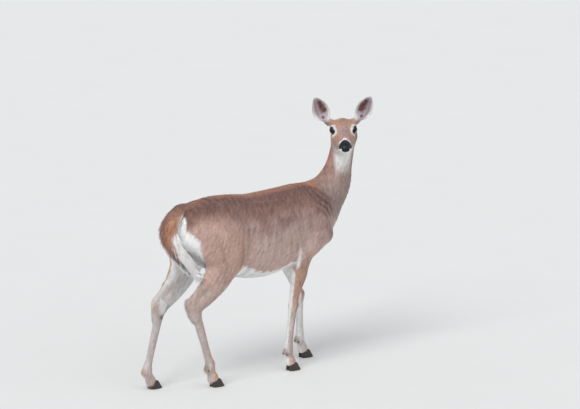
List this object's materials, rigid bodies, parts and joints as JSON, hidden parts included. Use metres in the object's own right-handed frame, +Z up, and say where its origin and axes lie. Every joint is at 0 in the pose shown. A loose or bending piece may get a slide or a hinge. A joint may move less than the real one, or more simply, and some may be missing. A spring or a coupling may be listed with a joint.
{
  "type": "white-tailed deer",
  "caption": "Life-size still model of a white-tailed deer doe standing in mid-step, head turned to look back over its right side",
  "frame": {"origin": "on the floor under the middle of the model's outline", "axes": "+Z up, -Y the way the trunk's chest points, +X the doe's left side, X across the trunk"},
  "size_m": [0.3882, 1.125, 1.1948],
  "materials": {
    "coat": "short dense fur",
    "hoof": "horn, worn smooth",
    "nose": "moist leathery skin",
    "eye": "dark polished glass"
  },
  "bodies": {
    "root": {"ear_left": "coat", "ear_right": "coat", "eye_left": "eye", "eye_right": "eye", "fore_left_dewclaw_1": "hoof", "fore_left_dewclaw_2": "hoof", "fore_left_foot": "coat", "fore_left_forearm": "coat", "fore_left_hoof_1": "hoof", "fore_left_hoof_2": "hoof", "fore_right_dewclaw_1": "hoof", "fore_right_dewclaw_2": "hoof", "fore_right_foot": "coat", "fore_right_forearm": "coat", "fore_right_hoof_1": "hoof", "fore_right_hoof_2": "hoof", "head": "coat", "hind_left_dewclaw_1": "hoof", "hind_left_dewclaw_2": "hoof", "hind_left_foot": "coat", "hind_left_hoof_1": "hoof", "hind_left_hoof_2": "hoof", "hind_left_shank": "coat", "hind_left_thigh": "coat", "hind_right_dewclaw_1": "hoof", "hind_right_dewclaw_2": "hoof", "hind_right_foot": "coat", "hind_right_hoof_1": "hoof", "hind_right_hoof_2": "hoof", "hind_right_shank": "coat", "hind_right_thigh": "coat", "neck": "coat", "nose_pad": "nose", "tail": "coat", "trunk": "coat"}
  },
  "joints": []
}
